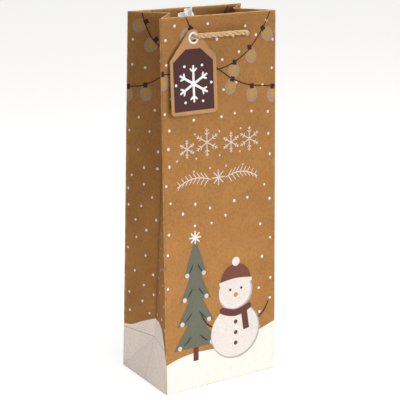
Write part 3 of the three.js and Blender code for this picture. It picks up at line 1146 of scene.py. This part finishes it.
@dataclass
class Wall:
    """The front or back wall: skin with its turned-in hem, rope holes and printed picture."""
    surface: WallSurface
    body: str

    @property
    def side(self) -> str:
        """The wall's name."""
        return "back" if self.surface.back else "front"

    def _columns(self) -> list[float]:
        """Places across the wall, close together at the holes."""
        size = self.surface.size
        half = size.width / 2
        coarse = [-half + size.width * k / 44 for k in range(45)]
        fine = [side * size.hole_across + d * 0.0007 for side in (-1, 1) for d in range(-9, 10)]
        near = [c for c in coarse if all(abs(c - s * size.hole_across) > 0.0075 for s in (-1, 1))]
        return sorted(near + fine)

    def _rows(self) -> list[tuple[float, float, float]]:
        """Height, depth and share of the width of each row, up the outside, over the rim and down inside."""
        size = self.surface.size
        top, deep = size.height, size.laminate
        low = size.hole_height - 0.0075
        outer = [0.003 * k for k in range(int(low / 0.003) + 1)]
        hole = [size.hole_height + d * 0.0007 for d in range(-9, 10)]
        high = [size.hole_height + 0.009 + 0.0022 * k for k in range(5)]
        rows = [(s, 0.0, 1.0) for s in outer + hole + high + [top - 0.0009]]
        narrow = 1 - 2 * size.hem_inset / size.width
        rows += [(top - 0.0003, -0.0003, 0.997), (top, -deep / 2, 0.98), (top - 0.0003, 0.0003 - deep, narrow)]
        inner = [s for s in reversed(hole + high) if s < top - 0.001] + [low, top - size.hem * 0.8, top - size.hem]
        return rows + [(s, -deep, narrow) for s in inner]

    def skin(self) -> bpy.types.Object:
        """Builds the paper of the wall and its hem."""
        size = self.surface.size
        columns, rows = self._columns(), self._rows()
        flat = [(x * share, s, n) for s, n, share in rows for x in columns]
        points = [self.surface.place(*p) for p in flat]
        faces = []
        for face in Meshes.grid(len(columns), len(rows)):
            x = sum(flat[v][0] for v in face) / 4
            s = sum(flat[v][1] for v in face) / 4
            if math.hypot(abs(x) - size.hole_across, s - size.hole_height) > size.hole_radius:
                faces.append(face)
        edge_count: dict[tuple[int, int], int] = {}
        for face in faces:
            for a, b in zip(face, face[1:] + face[:1]):
                key = (min(a, b), max(a, b))
                edge_count[key] = edge_count.get(key, 0) + 1
        for a, b in (edge for edge, count in edge_count.items() if count == 1):
            for v in (a, b):
                x, s, n = flat[v]
                dx, ds = abs(x) - size.hole_across, s - size.hole_height
                away = math.hypot(dx, ds)
                if 0 < away < size.hole_radius * 1.5:
                    share = size.hole_radius / away
                    round_x = math.copysign(size.hole_across + dx * share, x)
                    points[v] = self.surface.place(round_x, size.hole_height + ds * share, n)
        used = sorted({v for face in faces for v in face})
        renumber = {v: k for k, v in enumerate(used)}
        made = Meshes.make(f"{self.side}_skin", [points[v] for v in used],
                           [tuple(renumber[v] for v in face) for face in faces], [KRAFT.material()])
        middle = Vector((0, 0, 0))
        Meshes.outwards(made, lambda centre: Vector((0, centre.y - middle.y, 0)) if centre.z < 0.3 else Vector())
        Meshes.thicken(made, size.paper)
        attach(made, self.body)
        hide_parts(f"{self.side}_panel")
        return made

    def picture(self) -> bpy.types.Object:
        """Prints the picture on the outside."""
        half = self.surface.size.width * 500 - 0.15
        sheet = Print(f"{self.side}_print", self.surface.place, (-half, half), (0.3, 359.2))
        Motifs.snowfall(sheet, 7, 58, 15.0, [(-53, 186, 50, 258), (-58, 60, 42, 160), (25, 333, 38, 346),
                                             (-38, 333, -25, 346), (40, 128, 56, 152)])
        Motifs.ground(sheet, [(-half, 30), (-50, 34), (-32, 36.5), (-12, 36), (10, 37), (34, 42), (half, 51)])
        Motifs.tree(sheet, -30.0, 28.0)
        Motifs.snowman(sheet, 16.0, 22.0)
        Motifs.ornament_rows(sheet)
        Motifs.lights(sheet, [(57, 359), (48, 343), (34, 326), (18, 315.5), (2, 310), (-30, 307), (-half, 310)],
                      [(48.5, 344, -48), (33.5, 327, -80), (16.5, 314.5, -97), (-62, 310, -82), (-20, 307, -95)])
        Motifs.lights(sheet, [(-36, 359), (-31, 348), (-26, 334), (-14, 318), (2, 307), (14, 299), (34, 291.5),
                              (half, 288)],
                      [(-31, 349, -128), (14, 299, -108), (36, 290.5, -90), (60, 288, -92), (-18, 326, -30)])
        made = sheet.build()
        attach(made, self.body)
        return made

    def stiffener(self) -> bpy.types.Object:
        """Builds the board glued between the wall and its hem."""
        size = self.surface.size
        half = size.width / 2 - size.hem_inset
        xs = [-half + 2 * half * k / 50 for k in range(51)]
        heights = [size.height - size.hem + 0.0391 * k / 16 for k in range(17)]
        points = [self.surface.place(x, s, -0.0006) for s in heights for x in xs]
        made = Meshes.make(f"{self.side}_board", points, Meshes.grid(51, 17), [GREYBOARD.material()])
        Meshes.outwards(made, lambda centre: Vector((0, centre.y, 0)))
        Meshes.thicken(made, 0.001)
        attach(made, self.body)
        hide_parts(f"{self.side}_stiffener")
        return made

    def turned_in_print(self) -> bpy.types.Object:
        """Prints what shows on the hem inside, where the picture runs over the rim."""
        half = self.surface.size.width * 500 - 5
        wall = self.surface

        def inside(x: float, s: float, n: float) -> Vector:
            """A point on the hem's inner face."""
            return wall.place(x, s, -wall.size.laminate - n)

        sheet = Print(f"{self.side}_hem_print", inside, (-half, half), (320.5, 359.4))
        for x, s, lean in ((-47, 359, 6), (-3, 359, -7), (38, 359, 5)):
            sheet.stroke(Ink.WIRE, [(x, s), (x + lean * 0.7, s - 8), (x + lean * 2, s - 20)], 1.1)
            Motifs.bulb(sheet, x + lean * 0.8, s - 11, -70 if lean > 0 else -110)
        for x, s in ((-30, 350), (-16, 334), (12, 347), (22, 330), (52, 346), (-54, 331), (30, 353), (0, 327)):
            sheet.disc(Ink.SNOW, x, s, 2.5)
        made = sheet.build()
        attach(made, self.body)
        return made

    def build(self) -> None:
        """Builds the skin, the prints and the board behind the hem."""
        self.skin()
        self.stiffener()
        self.picture()
        self.turned_in_print()
        log.info("%s wall built", self.side)


@dataclass
class Gusset:
    """Half of a folded side, with its hem and print."""
    side_x: int
    side_y: int

    @property
    def name(self) -> str:
        """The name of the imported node."""
        return f"{'left' if self.side_x < 0 else 'right'}_gusset_{'front' if self.side_y < 0 else 'back'}"

    def _bend(self, piece: bpy.types.Object) -> None:
        """Bakes a piece's placement into its mesh.

        Args:
            piece: The object whose placement is baked.
        """
        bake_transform(piece)

    def build(self) -> None:
        """Builds the paper and the print."""
        surface = GussetSurface(self.side_x, self.side_y)
        reach = BAG.base_depth / 2
        apex = reach
        top = BAG.height
        rows = [(apex * k / 14, 0.0, 0.0) for k in range(15)]
        rows += [(apex + (top - apex) * k / 60, 0.0, 0.0) for k in range(1, 60)]
        rows += [(top - 0.0005, 0.0, 0.0), (top, -0.00045, 0.02), (top - 0.0005, -0.0009, 0.06)]
        rows += [(top - d, -0.0009, 0.08) for d in (0.01, 0.02, 0.03, 0.04)]
        columns = [k / 14 for k in range(15)]
        points = [surface.place(reach * (inset + c * (1 - 1.5 * inset)), v, n)
                  for v, n, inset in rows for c in columns]
        skin = Meshes.make(f"{self.name}_skin", points, Meshes.grid(len(columns), len(rows)), [KRAFT.material()])
        Meshes.outwards(skin, lambda centre: Vector((self.side_x, 0, 0)) if centre.z < 0.3 else Vector())
        Meshes.thicken(skin, BAG.paper)
        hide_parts(self.name)
        self._bend(skin)
        self._bend(self._print(surface))
        log.info("%s built", self.name)

    def _print(self, surface: GussetSurface) -> bpy.types.Object:
        """Prints snow, flakes and lights on this half.

        Args:
            surface: The side it is printed on.

        Returns:
            The printed object.
        """
        sheet = Print(f"{self.name}_print", surface.place, (0.4, 42.9), (0.3, 359.0))
        front = self.side_y < 0
        Motifs.snowfall(sheet, 21 + 3 * self.side_x + self.side_y, 34, 14.0,
                        [(8, 318, 36, 358), (0, 270, 43, 304)])
        if front:
            Motifs.ground(sheet, [(0.4, 32), (4, 38), (9, 50), (16, 60), (28, 63.5), (42.9, 62)])
            Motifs.lights(sheet, [(0.4, 314), (14, 322), (30, 326), (42.9, 325)], [(18, 323.5, -95)])
            Motifs.lights(sheet, [(0.4, 288), (16, 293), (42.9, 304)], [(24, 295, -86)])
        else:
            Motifs.ground(sheet, [(0.4, 46), (12, 48), (26, 55), (42.9, 62)])
            Motifs.lights(sheet, [(15, 359), (18, 350), (25, 337), (34, 329), (42.9, 325)],
                          [(19.5, 351, -150), (30.5, 335, -135)])
            Motifs.lights(sheet, [(0.4, 289), (16, 290.5), (30, 296), (42.9, 304)],
                          [(20.5, 291.5, -84), (1.5, 289, -95)])
        for fold in ([(0.4, 43), (42.9, 43)], [(0.4, 0.6), (42.9, 43)]):
            middle = (sum(p[0] for p in fold) / 2, sum(p[1] for p in fold) / 2)
            sheet.stroke(Ink.CREASE, [fold[0], middle, fold[1]], 0.5, tip=0.7)
        return sheet.build(2.5)


@dataclass
class Tag:
    """Plain luggage-shaped card tag with a snowflake, hung on the rope by the lobe round its hole."""
    hole: Point = (-29.9, 340.5)
    eyelet: Point = (-29.0, 340.3)
    hole_radius: float = 3.5
    lobe: float = 7.6
    half_width: float = 25.0
    shoulder: float = 20.0
    length: float = 70.0
    corner: float = 3.0
    thickness: float = 0.0005
    standoff: float = 0.0009

    def place(self, x: float, s: float, n: float) -> Vector:
        """A point on the tag's front, which curls away from the wall towards its foot.

        Args:
            x: Across, from the middle.
            s: Up the paper from the base.
            n: Out of the paper.

        Returns:
            The point in space.
        """
        hx, hs = self.hole[0] / 1000, self.hole[1] / 1000
        away = max(0.0, hs - 0.012 - s) / 0.06
        curl = 0.0022 * away ** 2 + 0.0007 * ((x - hx) / 0.03) ** 2 * min(1.0, away * 3)
        wall = WallSurface()
        return wall.place(x, s, self.standoff + self.thickness + curl + n - wall.relief(x, s))

    def outline(self) -> list[Point]:
        """The cut edge, in millimetres on the wall."""
        hx, hs = self.hole
        half, foot, cut = self.half_width, -self.length, self.corner
        lobe = [(self.lobe * math.cos(math.radians(k)), self.lobe * math.sin(math.radians(k)))
                for k in range(30, 151, 10)]
        body = [(-half, -self.shoulder), (-half, foot + cut), (-half + cut, foot), (half - cut, foot),
                (half, foot + cut), (half, -self.shoulder)]
        return [(hx + x, hs + s) for x, s in [*lobe, *body]]

    def _ring(self, radius: float, sides: int = 28) -> list[Point]:
        """A circle round the hole."""
        return [(self.eyelet[0] + radius * math.cos(2 * math.pi * k / sides),
                 self.eyelet[1] + radius * math.sin(2 * math.pi * k / sides)) for k in range(sides)]

    def card(self) -> bpy.types.Object:
        """Builds the card with its hole."""
        outline, ring = self.outline(), self._ring(self.hole_radius)
        inner = [Vector((x * 3, s * 3)) for x in range(-22, 5) for s in range(88, 117)]
        count = len(outline)
        edges = [(i, (i + 1) % count) for i in range(count)]
        edges += [(count + i, count + (i + 1) % len(ring)) for i in range(len(ring))]
        flat, _, triangles, *_ = delaunay_2d_cdt([Vector(p) for p in outline + ring] + inner, edges, [], 2, 1e-4)
        kept = [t for t in triangles if not self._in_hole([flat[v] for v in t])]
        used = sorted({v for t in kept for v in t})
        renumber = {v: k for k, v in enumerate(used)}
        points = [self.place(flat[v].x / 1000, flat[v].y / 1000, 0.0) for v in used]
        faces = [tuple(renumber[v] for v in t) for t in kept]
        made = Meshes.make("tag_card", points, faces, [TAG_CARD.material()])
        Meshes.outwards(made, lambda centre: Vector((0, -1, 0)))
        Meshes.thicken(made, self.thickness)
        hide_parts("gift_tag")
        return made

    def _in_hole(self, corners: Sequence[Vector]) -> bool:
        """Whether a triangle lies in the punched hole.

        Args:
            corners: The triangle's corners.

        Returns:
            Whether it lies in the hole.
        """
        x = sum(c.x for c in corners) / 3 - self.eyelet[0]
        s = sum(c.y for c in corners) / 3 - self.eyelet[1]
        return math.hypot(x, s) < self.hole_radius * 0.98

    def picture(self) -> bpy.types.Object:
        """Prints a panel with a snowflake, and the ring round the hole."""
        hx, hs = self.hole
        sheet = Print("tag_print", self.place, (hx - 40, hx + 45), (hs - 80, hs + 10), lift=0.03)
        ring = self._ring(5.6, 26)
        hole = self._ring(self.hole_radius + 0.1, 26)
        for k in range(26):
            nxt = (k + 1) % 26
            sheet.fill(Ink.WHITE, [ring[k], ring[nxt], hole[nxt], hole[k]], smooth=False)
        half, foot = self.half_width - 3.5, hs - self.length + 3.5
        sheet.fill(Ink.PLUM, [(hx - 8, hs - 10), (hx - half, hs - self.shoulder - 1.5), (hx - half, foot),
                              (hx + half, foot), (hx + half, hs - self.shoulder - 1.5), (hx + 8, hs - 10)],
                   smooth=False)
        Motifs.star(sheet, hx, hs - 42, 34, Ink.WHITE, 3, 2.4)
        for k in range(6):
            turn = math.pi * k / 3 + math.pi / 2
            root = (hx + 11 * math.cos(turn), hs - 42 + 11 * math.sin(turn))
            for lean in (-0.85, 0.85):
                end = (root[0] + 5 * math.cos(turn + lean), root[1] + 5 * math.sin(turn + lean))
                sheet.stroke(Ink.WHITE, [root, end], 1.8, tip=0.7)
            between = turn + math.pi / 6
            sheet.disc(Ink.WHITE, hx + 19 * math.cos(between), hs - 42 + 19 * math.sin(between), 2.6)
        return sheet.build(4.0)

    def build(self) -> None:
        """Builds the card and its print on the tag's body."""
        for piece in (self.card(), self.picture()):
            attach(piece, "tag")
        log.info("gift tag built")


@dataclass
class Tissue:
    """A loosely pleated strip of tissue standing inside against the back wall."""
    pleats: int = 5
    left: float = -0.027
    width: float = 0.033
    depth: float = 0.011
    seed: int = 1

    def build(self) -> bpy.types.Object:
        """Builds the crumpled strip.

        Returns:
            The tissue's object.
        """
        noise.seed_set(self.seed)
        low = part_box("tissue_strip")[0][2]
        columns, rows = 91, 130
        top = [(0.0, 0.344), (0.25, 0.349), (0.45, 0.354), (0.6, 0.3575), (0.7, 0.359), (0.8, 0.3616),
               (0.87, 0.3612), (0.94, 0.355), (1.0, 0.350)]
        points = []
        wall = WallSurface(back=True)
        for r in range(rows):
            for c in range(columns):
                share = c / (columns - 1)
                reach = next(a[1] + (b[1] - a[1]) * (share - a[0]) / (b[0] - a[0])
                             for a, b in zip(top, top[1:]) if share <= b[0])
                s = low + (reach - low) * (r / (rows - 1))
                fold = abs((share * self.pleats * 2) % 2 - 1)
                rough = noise.noise_vector(Vector((share * 9, s * 45, 1.7)))
                fine = noise.noise_vector(Vector((share * 26, s * 130, 4.1)))
                up = 0.35 + 0.65 * max(0.0, min(1.0, (s - 0.24) / 0.1))
                x = self.left + self.width * share + (0.0016 * rough.x + 0.0007 * fine.x) * up
                n = 0.0012 + (self.depth - 0.0024) * (0.04 + 0.92 * fold) + (0.0022 * rough.y + 0.0009 * fine.y) * up
                lift = 0.0016 * fine.z * (r / (rows - 1)) ** 8
                points.append(self._inside(wall, x, s + lift, n))
        made = Meshes.make("tissue_sheet", points, Meshes.grid(columns, rows), [TissueFinish().material()])
        Meshes.thicken(made, 0.00008, 0.0)
        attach(made, "tissue")
        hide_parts("tissue_strip")
        log.info("tissue built")
        return made

    @staticmethod
    def _inside(wall: WallSurface, x: float, s: float, n: float) -> Vector:
        """A point a distance inside the back wall's hem."""
        return wall.place(-x, s, -wall.size.laminate - 0.0007 - n - wall.relief(-x, s))


def dress(node: str, finish: PaperFinish) -> None:
    """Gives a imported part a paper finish.

    Args:
        node: The part's name.
        finish: The finish to use.
    """
    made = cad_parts[node]
    made.data.materials.clear()
    made.data.materials.append(finish.material())
    log.info("%s dressed as %s", node, finish.name)


def main() -> None:
    """Builds the studio, the ropes, the folded sheet, the tag and the tissue, in order."""
    studio = Studio()
    studio.camera()
    for side, body in ((WallSurface(), "front_wall"), (WallSurface(back=True), "back_wall")):
        RopeHandle(side, body).build()
    for side, body in ((WallSurface(), "front_wall"), (WallSurface(back=True), "back_wall")):
        Wall(side, body).build()
    for side_x in (-1, 1):
        for side_y in (-1, 1):
            Gusset(side_x, side_y).build()
    for node in ("bottom_flap_front", "bottom_flap_back", "bottom_tuck_left", "bottom_tuck_right", "side_seam_tab"):
        dress(node, KRAFT)
    dress("base_board", GREYBOARD)
    Tag().build()
    Tissue().build()
    studio.floor()
    studio.light()


if __name__ == "__main__":
    logging.basicConfig(level=logging.INFO)
    main()
